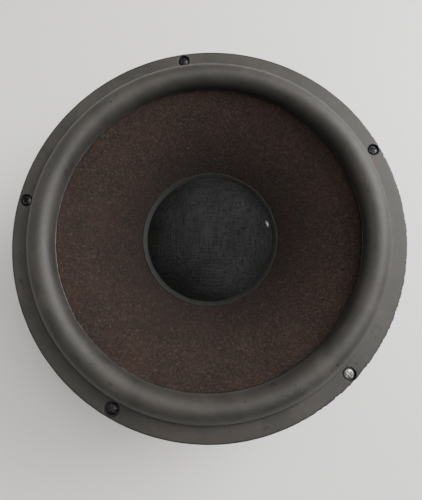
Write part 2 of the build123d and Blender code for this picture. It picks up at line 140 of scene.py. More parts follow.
lit_point = Vector((0, 0, 0.08))
lamps = [
    ("window_light", (0.95, 0.55, 0.80), 0.8, 23.0, "#FFFFFF"),
    ("bright_ceiling_light", (0.68, 0.15, 1.25), 1.0, 14.5, "#FFFEFC"),
    ("far_ceiling_light", (0.1, 0.8, 2.2), 1.4, 9.5, "#FFF8EE"),
    ("left_wall_glow", (-1.25, 0.40, 0.95), 0.8, 3.5, "#FFF9F2"),
]
for name, spot, size, watts, colour in lamps:
    lamp_data = bpy.data.lights.new(name, "AREA")
    lamp_data.size = size
    lamp_data.energy = watts
    lamp_data.color = linear(colour)[:3]
    lamp = bpy.data.objects.new(name, lamp_data)
    lamp.location = spot
    lamp.rotation_euler = (lit_point - Vector(spot)).to_track_quat("-Z", "Y").to_euler()
    bpy.context.scene.collection.objects.link(lamp)
room = bpy.data.worlds.new("pale_room")
room.use_nodes = True
room.node_tree.nodes["Background"].inputs["Color"].default_value = linear("#E6E8EA")
room.node_tree.nodes["Background"].inputs["Strength"].default_value = 0.27
bpy.context.scene.world = room


# ---------------------------------------------------------------- magnet system
# Two turned mild-steel plates, zinc plated, with a ring of black ferrite glued between them. The pole is
# turned from the same bar and staked into the back plate. Black glue squeezed out of both joints.
def turned_steel(name, dark, light, roughness):
    """Zinc-plated steel off a lathe: fine rings round the axis, under dull grey blotches of handled zinc."""
    material, tree, place = new_material(name)
    tool_pitch_mm = 0.6
    reach = add(tree, "ShaderNodeVectorMath", {0: place}, operation="LENGTH")
    phase = add(tree, "ShaderNodeMath", {0: reach, 1: 2 * math.pi * per_mm(tool_pitch_mm)},
                operation="MULTIPLY")
    rings = add(tree, "ShaderNodeMath", {0: phase}, operation="SINE")
    blotch = add(tree, "ShaderNodeTexNoise", {
        "Vector": place, "Scale": per_mm(14), "Detail": 4.0, "Distortion": 0.6})
    grit = add(tree, "ShaderNodeTexNoise", {"Vector": place, "Scale": per_mm(1.2), "Detail": 5.0})
    height = add(tree, "ShaderNodeMath", {0: rings, 1: 0.2, 2: grit}, operation="MULTIPLY_ADD")
    relief = add(tree, "ShaderNodeBump", {"Height": height, "Distance": 0.03 * MM})
    tint = add(tree, "ShaderNodeValToRGB", {"Fac": blotch}, stops=[(0.32, dark), (0.66, light)])
    gloss = add(tree, "ShaderNodeMapRange", {
        "Value": blotch, "To Min": roughness + 0.12, "To Max": roughness - 0.05})
    shader = add(tree, "ShaderNodeBsdfPrincipled", {
        "Base Color": tint, "Metallic": 0.9, "Roughness": gloss, "Normal": relief})
    add(tree, "ShaderNodeOutputMaterial", {"Surface": shader})
    return material


paint(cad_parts["back_plate"], turned_steel("zinc_plated_back_plate", "#86847C", "#A9A8A2", 0.42))
paint(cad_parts["top_plate"], turned_steel("zinc_plated_top_plate", "#7E7C75", "#A3A29C", 0.45))
paint(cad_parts["pole_piece"], turned_steel("turned_pole_steel", "#6E6B66", "#8F8D88", 0.38))

# Ferrite is a pressed, sintered and ground ceramic: dark grey, faintly speckled and nearly matt.
ferrite, tree, place = new_material("sintered_ferrite")
speckle = add(tree, "ShaderNodeTexNoise", {"Vector": place, "Scale": per_mm(1.5), "Detail": 6.0})
tint = add(tree, "ShaderNodeValToRGB", {"Fac": speckle}, stops=[(0.35, "#1E1E21"), (0.7, "#303034")])
pits = add(tree, "ShaderNodeTexNoise", {"Vector": place, "Scale": per_mm(0.8), "Detail": 8.0})
relief = add(tree, "ShaderNodeBump", {"Height": pits, "Distance": 0.08 * MM})
shader = add(tree, "ShaderNodeBsdfPrincipled", {
    "Base Color": tint, "Roughness": 0.62, "IOR": 1.9, "Normal": relief})
add(tree, "ShaderNodeOutputMaterial", {"Surface": shader})
paint(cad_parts["magnet"], ferrite)


def finished(name, mesh):
    """An object with this mesh, its normals outwards and its faces smooth."""
    work = bmesh.new()
    work.from_mesh(mesh)
    bmesh.ops.remove_doubles(work, verts=work.verts, dist=1e-7)
    bmesh.ops.recalc_face_normals(work, faces=work.faces)
    work.to_mesh(mesh)
    work.free()
    mesh.polygons.foreach_set("use_smooth", [True] * len(mesh.polygons))
    obj = bpy.data.objects.new(name, mesh)
    bpy.context.scene.collection.objects.link(obj)
    return obj


def lathe(name, profile, steps, shift=None, closed=True):
    """A mesh turned about Z from (radius, height) points in millimetres.

    A point at radius 0 is one vertex, on the axis. shift may move each point, knowing its angle and number.
    """
    rows = []
    verts = []
    for index, (r, z) in enumerate(profile):
        row = []
        for step in range(1 if r == 0 else steps):
            angle = 2 * math.pi * step / steps
            moved_r, moved_z = shift(r, z, angle, index) if shift else (r, z)
            row.append(len(verts))
            verts.append((moved_r * math.cos(angle) * MM, moved_r * math.sin(angle) * MM, moved_z * MM))
        rows.append(row)
    faces = []
    for index in range(len(rows) if closed else len(rows) - 1):
        here = rows[index]
        there = rows[(index + 1) % len(rows)]
        for step in range(steps):
            after = (step + 1) % steps
            corners = [here[step % len(here)], here[after % len(here)], there[after % len(there)],
                       there[step % len(there)]]
            corners = list(dict.fromkeys(corners))
            if len(corners) > 2:
                faces.append(corners)
    mesh = bpy.data.meshes.new(name)
    mesh.from_pydata(verts, [], faces)
    return finished(name, mesh)


def arc(centre, radius, start, stop, count):
    """Points on an arc in (radius, height), from one angle to another in degrees."""
    angles = [math.radians(start + (stop - start) * i / count) for i in range(count + 1)]
    return [(centre[0] + radius * math.cos(a), centre[1] + radius * math.sin(a)) for a in angles]


def uneven(angle, waves, seed):
    """Smooth noise from -1 to 1 round a ring, with about this many waves, and the same each run."""
    return noise.noise(Vector((math.cos(angle) * waves, math.sin(angle) * waves, seed)))


def glue_bead(name, radius_mm, height_mm, thick_mm, seed, waver):
    """A ring of glue of round section, whose thickness wavers as a hand-run bead does."""
    section = arc((0, 0), 1.0, 0, 330, 11)

    def swell(r, z, angle, index):
        size = thick_mm * (1 + waver * uneven(angle, 9, seed) + waver * 0.6 * uneven(angle, 31, seed))
        return radius_mm + section[index][0] * size, height_mm + section[index][1] * size

    return lathe(name, [(radius_mm + x, height_mm + z) for x, z in section], 480, swell)


# Contact glue dries to a black, rubbery skin with a wet shine.
black_glue, tree, place = new_material("black_contact_glue")
wrinkle = add(tree, "ShaderNodeTexNoise", {"Vector": place, "Scale": per_mm(2.5), "Detail": 3.0})
relief = add(tree, "ShaderNodeBump", {"Height": wrinkle, "Distance": 0.15 * MM})
tint = add(tree, "ShaderNodeValToRGB", {"Fac": wrinkle}, stops=[(0.3, "#0E0E0E"), (0.7, "#1B1A19")])
shader = add(tree, "ShaderNodeBsdfPrincipled", {
    "Base Color": tint, "Roughness": 0.4, "Coat Weight": 0.2, "Normal": relief})
add(tree, "ShaderNodeOutputMaterial", {"Surface": shader})
magnet_low, magnet_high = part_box("magnet")
plate_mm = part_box("back_plate")[1].x / MM
magnet_joints = [("magnet_glue_lower", magnet_low.z, 3.0), ("magnet_glue_upper", magnet_high.z, 7.0)]
for name, joint_z, seed in magnet_joints:
    bead = paint(glue_bead(name, plate_mm + 0.1, joint_z / MM, 0.75, seed, 0.35), black_glue)
    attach(bead, "frame")


# ---------------------------------------------------------------- basket
# Pressed from 1.2 mm steel sheet in one piece, with five legs, and stove enamelled black. The enamel has a
# slight orange peel and is dusty in the hollows. Round-headed steel rivets hold it to the top plate.
enamel, tree, place = new_material("black_stove_enamel")
peel = add(tree, "ShaderNodeTexNoise", {"Vector": place, "Scale": per_mm(2.2), "Detail": 2.0})
dust = add(tree, "ShaderNodeTexNoise", {
    "Vector": place, "Scale": per_mm(28), "Detail": 5.0, "Distortion": 0.4})
height = add(tree, "ShaderNodeMath", {0: dust, 1: 0.3, 2: peel}, operation="MULTIPLY_ADD")
relief = add(tree, "ShaderNodeBump", {"Height": height, "Distance": 0.05 * MM})
tint = add(tree, "ShaderNodeValToRGB", {"Fac": dust}, stops=[(0.35, "#171718"), (0.75, "#292826")])
gloss = add(tree, "ShaderNodeMapRange", {"Value": dust, "To Min": 0.3, "To Max": 0.55})
shader = add(tree, "ShaderNodeBsdfPrincipled", {
    "Base Color": tint, "Roughness": gloss, "Coat Weight": 0.25, "Coat Roughness": 0.3, "Normal": relief})
add(tree, "ShaderNodeOutputMaterial", {"Surface": shader})
paint(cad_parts["basket"], enamel)

# The rivets are plain steel, bright where the snap set them and grey with age elsewhere.
rivet_steel, tree, place = new_material("plain_rivet_steel")
age = add(tree, "ShaderNodeTexNoise", {"Vector": place, "Scale": per_mm(2.5), "Detail": 4.0})
tint = add(tree, "ShaderNodeValToRGB", {"Fac": age}, stops=[(0.3, "#75726C"), (0.7, "#ACA9A3")])
relief = add(tree, "ShaderNodeBump", {"Height": age, "Distance": 0.04 * MM})
shader = add(tree, "ShaderNodeBsdfPrincipled", {
    "Base Color": tint, "Metallic": 0.95, "Roughness": 0.36, "Normal": relief})
add(tree, "ShaderNodeOutputMaterial", {"Surface": shader})
for node in ("basket_rivets", "terminal_board_rivets"):
    paint(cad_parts[node], rivet_steel)


# ---------------------------------------------------------------- terminals
# A punched board of brown phenolic paper, riveted to the basket's pad. Two tinned brass solder tags are
# riveted to it, one wider than the other so that the leads can't be swapped.
phenolic, tree, place = new_material("phenolic_paper_board")
mottle = add(tree, "ShaderNodeTexNoise", {
    "Vector": place, "Scale": per_mm(6), "Detail": 6.0, "Distortion": 1.2})
tint = add(tree, "ShaderNodeValToRGB", {"Fac": mottle}, stops=[(0.3, "#5A3013"), (0.7, "#83501F")])
paper = add(tree, "ShaderNodeTexNoise", {"Vector": place, "Scale": per_mm(0.5), "Detail": 5.0})
relief = add(tree, "ShaderNodeBump", {"Height": paper, "Distance": 0.02 * MM})
shader = add(tree, "ShaderNodeBsdfPrincipled", {
    "Base Color": tint, "Roughness": 0.42, "Coat Weight": 0.15, "Normal": relief})
add(tree, "ShaderNodeOutputMaterial", {"Surface": shader})
paint(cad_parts["terminal_board"], phenolic)

# Hot-dipped tin over brass: soft grey, with the yellow showing where the tin wore through.
tinned_brass, tree, place = new_material("tinned_brass_tag")
wear = add(tree, "ShaderNodeTexNoise", {
    "Vector": place, "Scale": per_mm(3), "Detail": 6.0, "Distortion": 0.8})
tint = add(tree, "ShaderNodeValToRGB", {"Fac": wear}, stops=[(0.28, "#A08A55"), (0.42, "#B9B6AE")])
relief = add(tree, "ShaderNodeBump", {"Height": wear, "Distance": 0.03 * MM})
shader = add(tree, "ShaderNodeBsdfPrincipled", {
    "Base Color": tint, "Metallic": 0.95, "Roughness": 0.3, "Normal": relief})
add(tree, "ShaderNodeOutputMaterial", {"Surface": shader})
for node in ("terminal_tag_positive", "terminal_tag_negative"):
    paint(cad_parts[node], tinned_brass)

# Eyelets and tag rivets are drawn brass, tarnished a little brown.
brass, tree, place = new_material("drawn_eyelet_brass")
tarnish = add(tree, "ShaderNodeTexNoise", {"Vector": place, "Scale": per_mm(1.5), "Detail": 4.0})
tint = add(tree, "ShaderNodeValToRGB", {"Fac": tarnish}, stops=[(0.3, "#8A6A2C"), (0.7, "#B8954A")])
shader = add(tree, "ShaderNodeBsdfPrincipled", {"Base Color": tint, "Metallic": 1.0, "Roughness": 0.32})
add(tree, "ShaderNodeOutputMaterial", {"Surface": shader})
for node in ("terminal_tag_rivets", "cone_eyelets"):
    paint(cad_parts[node], brass)


# ---------------------------------------------------------------- tinsel leads
# Two braided leads run from the tags' upper ends, through the window, to the eyelets behind the cone. Each
# is tinned copper tinsel plaited over cotton, soldered at both ends, with slack for the cone's travel.
lead_routes_mm = {
    "positive": [(22.2, -94.4, 72.4), (21.1, -85.7, 77.0), (19.7, -75.8, 74.0), (15.6, -48.6, 59.6),
                 (14.2, -39.0, 60.0), (13.4, -34.4, 66.9)],
    "negative": [(6.4, -96.8, 72.4), (5.1, -87.9, 77.0), (3.4, -78.0, 74.0), (-0.8, -50.6, 59.6),
                 (-2.2, -41.3, 60.0), (-2.8, -36.8, 66.9)],
}
lead_radius_mm = 0.9
plait_strands = 4               # wound each way
plait_pitch_mm = 2.4
plait_samples = 10              # along each pitch
strand_share = 0.3              # of the lead's radius


def made_plain(holder):
    """Turns what the modifiers give into the object's own mesh, and removes them."""
    bpy.context.view_layer.update()
    settled = holder.evaluated_get(bpy.context.evaluated_depsgraph_get())
    mesh = bpy.data.meshes.new_from_object(settled)
    if holder.type == "MESH":
        holder.modifiers.clear()
        holder.data = mesh
        return holder
    name = holder.name
    bpy.data.objects.remove(holder)
    plain = bpy.data.objects.new(name, mesh)
    bpy.context.scene.collection.objects.link(plain)
    return plain


def curve_object(name):
    """An empty curve, ready for splines."""
    curve = bpy.data.curves.new(name, "CURVE")
    curve.dimensions = "3D"
    holder = bpy.data.objects.new(name, curve)
    bpy.context.scene.collection.objects.link(holder)
    return holder


def smooth_line(points_mm):
    """Points along a soft spline through a route."""
    holder = curve_object("lead_line")
    spline = holder.data.splines.new("NURBS")
    spline.points.add(len(points_mm) - 1)
    for point, place_mm in zip(spline.points, points_mm):
        point.co = (*(Vector(place_mm) * MM), 1)
    spline.order_u = 3
    spline.use_endpoint_u = True
    spline.resolution_u = 24
    line = made_plain(holder)
    points = [vertex.co.copy() for vertex in line.data.vertices]
    bpy.data.objects.remove(line)
    return points


def plait_tree(material):
    """Sweeps each spline into a round strand, closes its ends and paints it."""
    tree = bpy.data.node_groups.new("plait_sweep", "GeometryNodeTree")
    tree.interface.new_socket("Geometry", in_out="INPUT", socket_type="NodeSocketGeometry")
    tree.interface.new_socket("Strand radius", in_out="INPUT", socket_type="NodeSocketFloat")
    tree.interface.new_socket("Geometry", in_out="OUTPUT", socket_type="NodeSocketGeometry")
    given = add(tree, "NodeGroupInput").outputs
    section = add(tree, "GeometryNodeCurvePrimitiveCircle", {
        "Resolution": 5, "Radius": given["Strand radius"]})
    tube = add(tree, "GeometryNodeCurveToMesh", {
        "Curve": given["Geometry"], "Profile Curve": section, "Fill Caps": True})
    smooth = add(tree, "GeometryNodeSetShadeSmooth", {"Geometry": tube})
    real = add(tree, "GeometryNodeRealizeInstances", {"Geometry": smooth})
    painted = add(tree, "GeometryNodeSetMaterial", {"Geometry": real, "Material": material})
    add(tree, "NodeGroupOutput", {"Geometry": painted})
    return tree


def along_line(points, distance):
    """The place this far along a line of points, and the way the line runs there."""
    for here, there in zip(points, points[1:]):
        run = (there - here).length
        if distance <= run or there is points[-1]:
            return here.lerp(there, min(1.0, distance / max(run, 1e-9))), (there - here).normalized()
        distance -= run


def plait(name, points, sweep_tree):
    """Strands wound both ways round a line, passing over and under each other."""
    length = sum((there - here).length for here, there in zip(points, points[1:]))
    pitch = plait_pitch_mm * MM
    radius = lead_radius_mm * MM
    count = int(length / pitch * plait_samples)
    holder = curve_object(name)
    for hand in (1, -1):
        for strand in range(plait_strands):
            spline = holder.data.splines.new("POLY")
            spline.points.add(count)
            for i in range(count + 1):
                along = length * i / count
                spot, ahead = along_line(points, along)
                across = ahead.cross(Vector((1, 0.15, 0))).normalized()
                over = ahead.cross(across)
                turns = along / pitch
                angle = 2 * math.pi * (hand * turns + strand / plait_strands)
                reach = radius * (0.86 + 0.14 * hand * math.sin(plait_strands * 2 * math.pi * turns))
                spot = spot + (across * math.cos(angle) + over * math.sin(angle)) * reach
                spline.points[i].co = (*spot, 1)
    sweep = holder.modifiers.new("sweep", "NODES")
    sweep.node_group = sweep_tree
    radius_input = sweep_tree.interface.items_tree["Strand radius"].identifier
    sweep[radius_input] = radius * strand_share
    return made_plain(holder)


# Tinsel is thin copper ribbon, tinned: warm grey, with copper at the worn crowns.
tinsel, tree, place = new_material("tinned_copper_tinsel")
worn = add(tree, "ShaderNodeTexNoise", {"Vector": place, "Scale": per_mm(0.9), "Detail": 3.0})
tint = add(tree, "ShaderNodeValToRGB", {"Fac": worn}, stops=[(0.3, "#8C6B4C"), (0.65, "#C0A583")])
shader = add(tree, "ShaderNodeBsdfPrincipled", {"Base Color": tint, "Metallic": 0.9, "Roughness": 0.36})
add(tree, "ShaderNodeOutputMaterial", {"Surface": shader})

# Solder sets with a dull, faintly frosted skin.
solder, tree, place = new_material("dull_tin_solder")
frost = add(tree, "ShaderNodeTexNoise", {"Vector": place, "Scale": per_mm(1.6), "Detail": 3.0})
tint = add(tree, "ShaderNodeValToRGB", {"Fac": frost}, stops=[(0.3, "#77787A"), (0.7, "#A9AAAC")])
shader = add(tree, "ShaderNodeBsdfPrincipled", {"Base Color": tint, "Metallic": 0.95, "Roughness": 0.34})
add(tree, "ShaderNodeOutputMaterial", {"Surface": shader})


def blob(name, place_mm, half_sizes_mm, turn_degrees, seed):
    """A rounded, slightly lumpy drop of something that set where it was put."""
    work = bmesh.new()
    bmesh.ops.create_icosphere(work, subdivisions=4, radius=1.0)
    turned = Matrix.Rotation(math.radians(turn_degrees), 3, "Z")
    for vertex in work.verts:
        lump = 1 + 0.12 * noise.noise(vertex.co * 1.7 + Vector((seed, 0, 0)))
        size = Vector([half * lump * part for half, part in zip(half_sizes_mm, vertex.co)])
        vertex.co = (turned @ size + Vector(place_mm)) * MM
    mesh = bpy.data.meshes.new(name)
    work.to_mesh(mesh)
    work.free()
    return finished(name, mesh)


sweep_tree = plait_tree(tinsel)
for pole, seed in (("positive", 4.0), ("negative", 5.0)):
    route_mm = lead_routes_mm[pole]
    line = smooth_line(route_mm)
    lead = plait("tinsel_braid_" + pole, line, sweep_tree)
    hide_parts("tinsel_lead_" + pole)
    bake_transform(lead)
    tag_blob = paint(blob("tag_solder_" + pole, route_mm[0], (1.9, 1.9, 1.5), 0, seed), solder)
    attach(tag_blob, "frame")
    eyelet_blob = paint(blob("eyelet_solder_" + pole, route_mm[-1], (1.8, 1.8, 1.4), 0, seed + 5), solder)
    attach(eyelet_blob, "cone_assembly")


# ---------------------------------------------------------------- voice coil
# A tube of aluminium foil with two layers of enamelled copper wire, stiffened above them by a wrap of
# brown kraft paper. Brown glue holds it in the cone's neck.
foil, tree, place = new_material("aluminium_foil_former")
crease = add(tree, "ShaderNodeTexNoise", {"Vector": place, "Scale": per_mm(3), "Detail": 4.0})
relief = add(tree, "ShaderNodeBump", {"Height": crease, "Distance": 0.04 * MM})
tint = add(tree, "ShaderNodeValToRGB", {"Fac": crease}, stops=[(0.3, "#ABADB0"), (0.7, "#C4C6C9")])
shader = add(tree, "ShaderNodeBsdfPrincipled", {
    "Base Color": tint, "Metallic": 1.0, "Roughness": 0.3, "Normal": relief})
add(tree, "ShaderNodeOutputMaterial", {"Surface": shader})
paint(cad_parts["voice_coil_former"], foil)

# The turns lie side by side, so the winding is ribbed at the wire's own pitch. The grooves between the wires
# are painted dark, as painted shade.
wire_pitch_mm = 0.45
wire, tree, place = new_material("enamelled_copper_wire")
up = add(tree, "ShaderNodeSeparateXYZ", {"Vector": place}).outputs["Z"]
phase = add(tree, "ShaderNodeMath", {0: up, 1: 2 * math.pi * per_mm(wire_pitch_mm)}, operation="MULTIPLY")
turns = add(tree, "ShaderNodeMath", {0: phase}, operation="SINE")
share = add(tree, "ShaderNodeMapRange", {"Value": turns, "From Min": -1.0, "From Max": 1.0})
tint = add(tree, "ShaderNodeValToRGB", {"Fac": share}, stops=[(0.1, "#5A2410"), (0.8, "#B0603A")])
relief = add(tree, "ShaderNodeBump", {"Height": share, "Distance": 0.1 * MM})
shader = add(tree, "ShaderNodeBsdfPrincipled", {
    "Base Color": tint, "Metallic": 0.9, "Roughness": 0.24, "Normal": relief})
add(tree, "ShaderNodeOutputMaterial", {"Surface": shader})
for node in ("voice_coil_winding", "coil_lead_wires"):
    paint(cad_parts[node], wire)

kraft, tree, place = new_material("kraft_paper_collar")
fibre = add(tree, "ShaderNodeTexNoise", {"Vector": place, "Scale": per_mm(1), "Detail": 6.0})
tint = add(tree, "ShaderNodeValToRGB", {"Fac": fibre}, stops=[(0.3, "#7A5836"), (0.7, "#9A7449")])
shader = add(tree, "ShaderNodeBsdfPrincipled", {"Base Color": tint, "Roughness": 0.8})
add(tree, "ShaderNodeOutputMaterial", {"Surface": shader})
paint(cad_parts["former_collar"], kraft)

brown_glue, tree, place = new_material("set_brown_glue")
ripple = add(tree, "ShaderNodeTexNoise", {"Vector": place, "Scale": per_mm(2), "Detail": 3.0})
tint = add(tree, "ShaderNodeValToRGB", {"Fac": ripple}, stops=[(0.3, "#20150D"), (0.7, "#352417")])
relief = add(tree, "ShaderNodeBump", {"Height": ripple, "Distance": 0.2 * MM})
shader = add(tree, "ShaderNodeBsdfPrincipled", {
    "Base Color": tint, "Roughness": 0.28, "Coat Weight": 0.4, "Normal": relief})
add(tree, "ShaderNodeOutputMaterial", {"Surface": shader})
paint(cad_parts["neck_glue_ring"], brown_glue)


# ---------------------------------------------------------------- spider
# A disc of loose cotton cloth, stiffened with resin and hot pressed into rolls. It is glued to the basket's
# shelf and to the coil's collar, and gives way as the cone travels.
spider_mm = {"outer": 70.0, "inner": 25.6, "shelf": 52.0, "cloth": 0.5, "neck": 2.0,
             "rolls_from": 29.0, "rolls_to": 58.5, "roll_height": 1.5, "glued_from": 60.0}
spider_rolls = 5
spider_samples = 110


def spider_height(r):
    """The cloth's height at this radius, in millimetres, waving above and below the shelf."""
    share = (r - spider_mm["rolls_from"]) / (spider_mm["rolls_to"] - spider_mm["rolls_from"])
    wave = math.sin(2 * math.pi * spider_rolls * share) if 0 < share < 1 else 0.0
    return spider_mm["shelf"] + spider_mm["roll_height"] * wave


def follow_outwards(piece):
    """Bakes the piece's placement into its mesh."""
    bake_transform(piece)


radii = [spider_mm["inner"] + (spider_mm["outer"] - spider_mm["inner"]) * i / spider_samples
         for i in range(spider_samples + 1)]
neck_top = spider_mm["shelf"] + spider_mm["neck"]
neck_run = [(spider_mm["inner"], neck_top), (spider_mm["inner"] + spider_mm["cloth"], neck_top)]
upper_run = [(r, spider_height(r) + spider_mm["cloth"]) for r in radii[2:]]
lower_run = [(r, spider_height(r)) for r in reversed(radii)]
spider = lathe("spider_cloth", neck_run + upper_run + lower_run, 360)


def plain_weave(tree, place, thread_mm, turn_degrees):
    """How high the threads of a plain weave stand over the XY plane, from 0 to 1."""
    turned = add(tree, "ShaderNodeMapping", {"Vector": place, "Rotation": (0, 0, math.radians(turn_degrees))})
    split = add(tree, "ShaderNodeSeparateXYZ", {"Vector": turned})
    waves = {}
    for axis in ("X", "Y"):
        phase = add(tree, "ShaderNodeMath", {0: split.outputs[axis], 1: math.pi * per_mm(thread_mm)},
                    operation="MULTIPLY")
        sine = add(tree, "ShaderNodeMath", {0: phase}, operation="SINE")
        waves[axis] = add(tree, "ShaderNodeMath", {0: sine}, operation="ABSOLUTE")
        waves[axis + " side"] = add(tree, "ShaderNodeMath", {0: phase}, operation="COSINE")
    side = add(tree, "ShaderNodeMath", {0: waves["X side"], 1: waves["Y side"]}, operation="MULTIPLY")
    on_top = add(tree, "ShaderNodeMath", {0: side, 1: 0.0}, operation="GREATER_THAN")
    return add(tree, "ShaderNodeMix", {"Factor": on_top, "A": waves["X"], "B": waves["Y"]})


# Resin turns the cotton a dry tan, paler on the thread crowns.
cotton, tree, place = new_material("resin_stiffened_cotton")
weave = plain_weave(tree, place, 0.9, 20.0)
patch = add(tree, "ShaderNodeTexNoise", {"Vector": place, "Scale": per_mm(22), "Detail": 4.0})
crown = add(tree, "ShaderNodeValToRGB", {"Fac": patch}, stops=[(0.3, "#8E6D3A"), (0.7, "#A5834C")])
tint = add(tree, "ShaderNodeMix", {"Factor": weave, "A": linear("#5E4523"), "B": crown}, data_type="RGBA")
relief = add(tree, "ShaderNodeBump", {"Height": weave, "Distance": 0.12 * MM})
shader = add(tree, "ShaderNodeBsdfPrincipled", {
    "Base Color": tint, "Roughness": 0.75, "Sheen Weight": 0.3, "Normal": relief})
add(tree, "ShaderNodeOutputMaterial", {"Surface": shader})
paint(spider, cotton)
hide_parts("spider")
follow_outwards(spider)
spider_bead_mm = (spider_mm["outer"] + 0.2, spider_mm["shelf"] + 0.3)
spider_glue = paint(glue_bead("spider_glue_bead", *spider_bead_mm, 0.7, 13.0, 0.4), brown_glue)
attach(spider_glue, "frame")


# ---------------------------------------------------------------- cone
# Paper pulp felted on a shaped screen and dyed brown-black. Its long fibres lie every way in the surface
# and show as fine pale and red-brown flecks. The edge is glued to the surround's lip.
neck_mm = (25.3, 61.0)
edge_mm = (101.1, 106.1)
flare_centre_mm = (373.57, -438.09)    # of the circle of this radius that passes through neck and edge
flare_radius_mm = 608.59
paper_mm = 0.9
cone_samples = 90


def cone_point(r, lift=0.0):
    """A point of the cone's front at this radius, lifted square to it, in millimetres."""
    reach = flare_radius_mm + lift
    return r, flare_centre_mm[1] + math.sqrt(reach * reach - (r - flare_centre_mm[0]) ** 2)


def pulp_waver(r, z, angle, index):
    """The slight waviness of dried pulp, up to 0.12 mm, fading out at the neck and the edge."""
    share = max(0.0, min(1.0, (r - 30) / 20, (edge_mm[0] - r) / 8))
    soft = noise.noise(Vector((math.cos(angle) * r / 26, math.sin(angle) * r / 26, 4.0)))
    return r, z + 0.12 * share * soft


def cone_run(start, stop, lift):
    return [cone_point(start + (stop - start) * i / cone_samples, lift) for i in range(cone_samples + 1)]


cone_front = cone_run(neck_mm[0], edge_mm[0] - 0.2, 0.0)
cone_edge = [(edge_mm[0], edge_mm[1] - 0.25), (edge_mm[0], edge_mm[1] - 0.7)]
cone_back = cone_run(edge_mm[0] - 0.3, neck_mm[0] + 1.0, -paper_mm)
cone_collar = [(neck_mm[0] + paper_mm, neck_mm[1] - 4.0), (neck_mm[0], neck_mm[1] - 4.0)]
cone = lathe("pulp_cone", cone_front + cone_edge + cone_back + cone_collar, 480, pulp_waver)

pulp, tree, place = new_material("dyed_paper_pulp")
cloudy = add(tree, "ShaderNodeTexNoise", {
    "Vector": place, "Scale": per_mm(24), "Detail": 5.0, "Distortion": 0.5})
tint = add(tree, "ShaderNodeValToRGB", {"Fac": cloudy}, stops=[(0.38, "#1D1814"), (0.62, "#281D18")])
clump = add(tree, "ShaderNodeTexNoise", {
    "Vector": place, "Scale": per_mm(1.5), "Detail": 6.0, "Roughness": 0.7})
clump_share = add(tree, "ShaderNodeMapRange", {"Value": clump, "From Min": 0.42, "From Max": 0.68})
felt = linear("#332722")
tint = add(tree, "ShaderNodeMix", {"Factor": clump_share, "A": tint, "B": felt}, data_type="RGBA")

# Each kind of fibre is the thin line where a curly noise passes its middle, broken up by a second noise.
fibre_kinds = [
    ("#0E0B0A", 1.9, 0.05, 1.23, 0.6),
    ("#482D28", 2.2, 0.05, 0.31, 0.7),
    ("#5A5049", 2.8, 0.035, 0.77, 0.5),
]
fibre_relief = clump_share
for colour, curl_mm, width, offset, strength in fibre_kinds:
    moved = add(tree, "ShaderNodeMapping", {"Vector": place, "Location": (offset, offset * 0.7, -offset)})
    curl = add(tree, "ShaderNodeTexNoise", {
        "Vector": moved, "Scale": per_mm(curl_mm), "Detail": 2.0, "Distortion": 1.4})
    level = add(tree, "ShaderNodeMath", {0: curl, 1: 0.5}, operation="SUBTRACT")
    away = add(tree, "ShaderNodeMath", {0: level}, operation="ABSOLUTE")
    line = add(tree, "ShaderNodeMapRange", {
        "Value": away, "From Max": width, "To Min": strength, "To Max": 0.0})
    pieces = add(tree, "ShaderNodeTexNoise", {"Vector": moved, "Scale": per_mm(curl_mm * 0.8), "Detail": 3.0})
    keep = add(tree, "ShaderNodeMapRange", {"Value": pieces, "From Min": 0.44, "From Max": 0.56})
    fleck = add(tree, "ShaderNodeMath", {0: line, 1: keep}, operation="MULTIPLY")
    tint = add(tree, "ShaderNodeMix", {"Factor": fleck, "A": tint, "B": linear(colour)}, data_type="RGBA")
    fibre_relief = add(tree, "ShaderNodeMath", {0: fibre_relief, 1: fleck}, operation="ADD")
# The cone is painted darker towards the neck: painted shade, where the deep cone round the dust cap lies in
# shadow.
across = add(tree, "ShaderNodeVectorMath", {0: place, 1: (1, 1, 0)}, operation="MULTIPLY")
reach = add(tree, "ShaderNodeVectorMath", {0: across}, operation="LENGTH")
painted_neck_shade = add(tree, "ShaderNodeMapRange", {
    "Value": reach, "From Min": 46 * MM, "From Max": 84 * MM, "To Min": 0.6, "To Max": 0.0})
tint = add(tree, "ShaderNodeMix", {"Factor": painted_neck_shade, "A": tint, "B": linear("#060404")}, data_type="RGBA")
relief = add(tree, "ShaderNodeBump", {"Height": fibre_relief, "Distance": 0.16 * MM})
shader = add(tree, "ShaderNodeBsdfPrincipled", {
    "Base Color": tint, "Roughness": 0.9, "Specular IOR Level": 0.3, "Normal": relief})
add(tree, "ShaderNodeOutputMaterial", {"Surface": shader})
paint(cone, pulp)
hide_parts("cone")
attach(cone, "cone_assembly")


# ---------------------------------------------------------------- dust cap
# A dome of loosely woven dark cotton, stiffened with varnish, standing in a brushed ring of grey glue. One
# clear drop of glue ran down onto it at the right.
cap_radius_mm = 45.4
cap_top_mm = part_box("dust_cap")[1].z / MM
cap_rise_mm = cap_top_mm - cone_point(cap_radius_mm, 0.5)[1]
cap_sphere_mm = (cap_radius_mm ** 2 + cap_rise_mm ** 2) / (2 * cap_rise_mm)
cap_wall_mm = 0.5


def dome(radius, top, samples):
    """Points from the axis down the dome to its rim, in millimetres."""
    reach = math.asin(radius / cap_sphere_mm)
    angles = [reach * i / samples for i in range(1, samples + 1)]
    low = top - cap_sphere_mm
    return [(0, top)] + [(cap_sphere_mm * math.sin(a), low + cap_sphere_mm * math.cos(a)) for a in angles]


def cap_waver(r, z, angle, index):
    """Handling marks: a very shallow unevenness of the cloth, under 0.2 mm."""
    soft = noise.noise(Vector((math.cos(angle) * r / 17, math.sin(angle) * r / 17, 11.0)))
    return r, z + 0.16 * soft * max(0.0, min(1.0, (cap_radius_mm - r) / 6))


